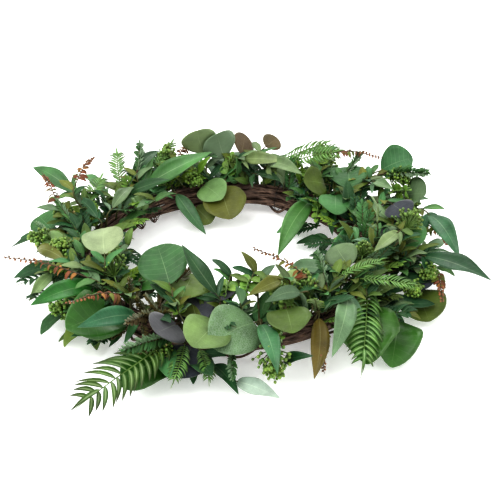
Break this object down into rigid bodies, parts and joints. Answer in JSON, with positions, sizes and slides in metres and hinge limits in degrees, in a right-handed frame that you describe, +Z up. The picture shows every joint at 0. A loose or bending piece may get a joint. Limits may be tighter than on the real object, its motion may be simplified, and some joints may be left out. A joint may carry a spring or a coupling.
{
  "type": "greenery wreath",
  "caption": "Artificial greenery wreath of eucalyptus, fern, seed berries and rust sprigs on a twisted vine ring, lying flat.",
  "frame": {"origin": "on the axis of the vine ring, on the plane that the wreath rests on", "axes": "+X right, +Y back, +Z up out of the ring"},
  "size_m": [0.5376, 0.5528, 0.1221],
  "materials": {
    "vine_bark": "dry brown vine bark",
    "tie_wire": "thin annealed wire",
    "willow_leaf": "printed leaf fabric, satin",
    "dollar_leaf": "printed leaf fabric, matte",
    "plum_leaf": "flocked grey-purple leaf fabric",
    "broad_leaf": "printed leaf fabric, satin",
    "under_leaf": "printed leaf fabric, matte",
    "fern": "moulded soft plastic",
    "berry": "moulded soft plastic",
    "rust_bud": "moulded soft plastic",
    "baby_leaf": "moulded soft plastic",
    "rosemary": "moulded soft plastic",
    "stem_coat": "plastic-covered wire"
  },
  "bodies": {
    "root": {"core_vines": "vine_bark", "outer_vines": "vine_bark", "wrap_vines": "vine_bark", "tie_wires": "tie_wire", "tendrils": "vine_bark", "willow_right": "willow_leaf", "willow_back_right": "willow_leaf", "willow_back_left": "willow_leaf", "willow_left": "willow_leaf", "willow_front_left": "willow_leaf", "willow_front_right": "willow_leaf", "dollar_right": "dollar_leaf", "dollar_back_right": "dollar_leaf", "dollar_back_left": "dollar_leaf", "dollar_left": "dollar_leaf", "dollar_front_left": "dollar_leaf", "dollar_front_right": "dollar_leaf", "plum_right": "plum_leaf", "plum_back_right": "plum_leaf", "plum_front_left": "plum_leaf", "broad_front_left": "broad_leaf", "broad_front_right": "broad_leaf", "under_leaves_right": "under_leaf", "under_leaves_back_right": "under_leaf", "under_leaves_back_left": "under_leaf", "under_leaves_left": "under_leaf", "under_leaves_front_left": "under_leaf", "under_leaves_front_right": "under_leaf", "ferns_back_right": "fern", "ferns_back_left": "fern", "ferns_left": "fern", "ferns_front_left": "fern", "ferns_front_right": "fern", "berries_right": "berry", "berries_back_right": "berry", "berries_back_left": "berry", "berries_left": "berry", "berries_front_left": "berry", "berries_front_right": "berry", "rust_sprigs_right": "rust_bud", "rust_sprigs_back_right": "rust_bud", "rust_sprigs_back_left": "rust_bud", "rust_sprigs_left": "rust_bud", "rust_sprigs_front_left": "rust_bud", "rust_sprigs_front_right": "rust_bud", "baby_eucalyptus_right": "baby_leaf", "baby_eucalyptus_back_right": "baby_leaf", "baby_eucalyptus_back_left": "baby_leaf", "baby_eucalyptus_left": "baby_leaf", "baby_eucalyptus_front_left": "baby_leaf", "baby_eucalyptus_front_right": "baby_leaf", "rosemary_right": "rosemary", "rosemary_back_right": "rosemary", "rosemary_back_left": "rosemary", "rosemary_left": "rosemary", "rosemary_front_left": "rosemary", "rosemary_front_right": "rosemary", "stem_wires_right": "stem_coat", "stem_wires_left": "stem_coat", "stem_wires_front": "stem_coat"}
  },
  "joints": []
}
